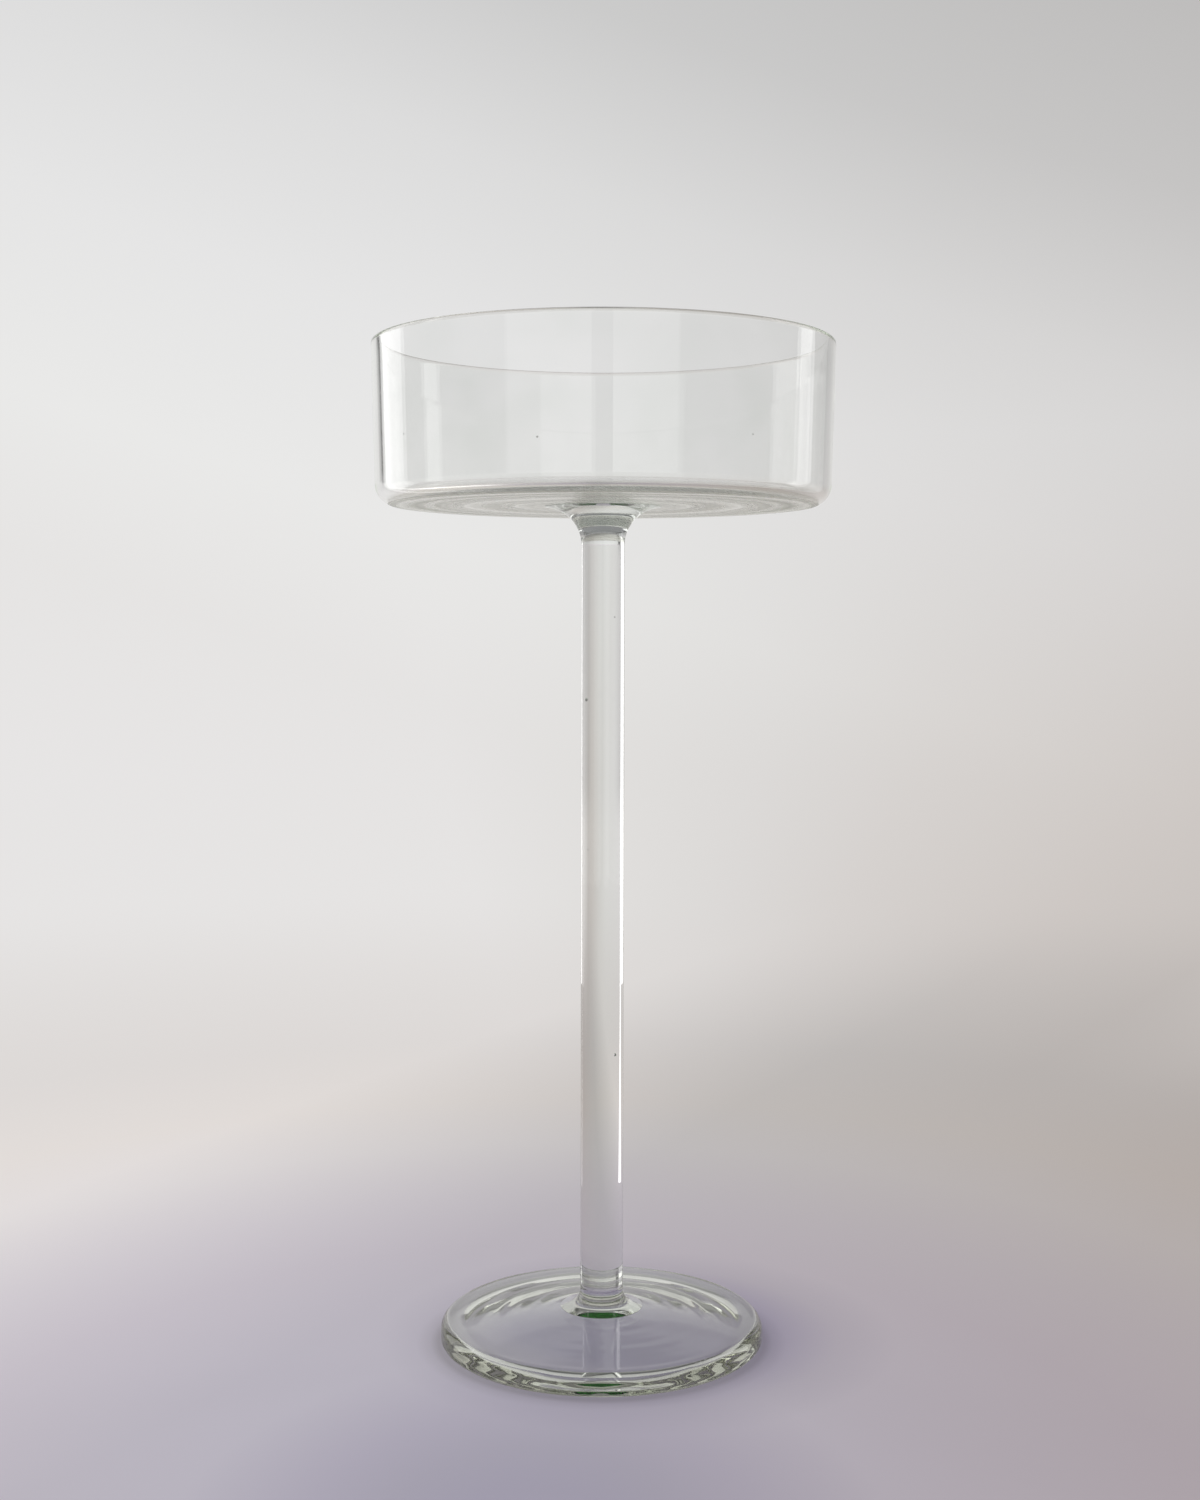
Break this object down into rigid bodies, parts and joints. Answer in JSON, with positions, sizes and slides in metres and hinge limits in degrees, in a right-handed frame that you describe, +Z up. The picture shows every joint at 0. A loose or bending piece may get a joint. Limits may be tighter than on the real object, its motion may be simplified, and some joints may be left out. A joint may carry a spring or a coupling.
{
  "type": "stemmed glass",
  "caption": "Clear drinking glass with a shallow straight-sided bowl on a tall solid rod stem, flared welds and a thick round disc foot.",
  "frame": {"origin": "middle of the foot's underside, on the plane that the glass stands on", "axes": "+Z up along the stem, which is the axis of revolution of every piece; +X and +Y are any two level directions"},
  "size_m": [0.095, 0.095, 0.208],
  "materials": {
    "bowl": "gloss",
    "bowl_seal": "gloss",
    "stem": "gloss",
    "foot_seal": "gloss",
    "foot": "gloss"
  },
  "bodies": {
    "root": {"bowl": "bowl", "bowl_seal": "bowl_seal", "stem": "stem", "foot_seal": "foot_seal", "foot": "foot"}
  },
  "joints": []
}
